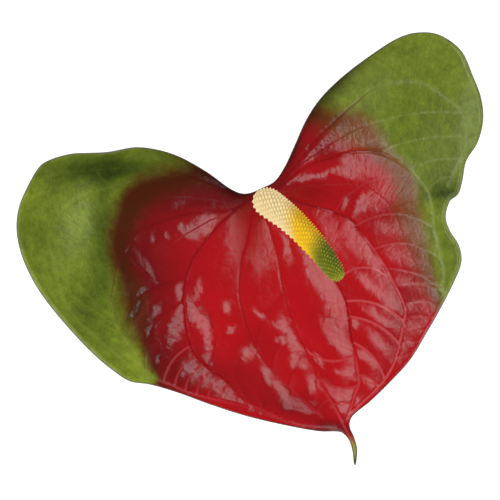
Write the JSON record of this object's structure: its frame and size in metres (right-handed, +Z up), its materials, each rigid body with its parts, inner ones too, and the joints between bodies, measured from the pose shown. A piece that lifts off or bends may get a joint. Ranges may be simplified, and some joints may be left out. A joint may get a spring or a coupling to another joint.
{
  "type": "anthurium cut flower",
  "caption": "Large anthurium cut flower lying face up: a red and green heart-shaped blade with quilted cells and impressed veins, a leaning cream to green spadix and a short cut stem.",
  "frame": {"origin": "on the surface that the flower lies on, under the middle of its box", "axes": "+Z up from that surface, the side that the flower faces; +Y from the drip tip towards the lobes; +X across the blade, to the right as its face is seen"},
  "size_m": [0.1698, 0.1568, 0.0628],
  "materials": {
    "spathe": "waxy gloss, red with green lobes",
    "spadix": "matte, cream at the foot through yellow to a green tip",
    "stem": "satin green skin with a pale fibrous cut"
  },
  "bodies": {
    "root": {"spathe": "spathe", "spadix": "spadix", "stem": "stem"}
  },
  "joints": []
}
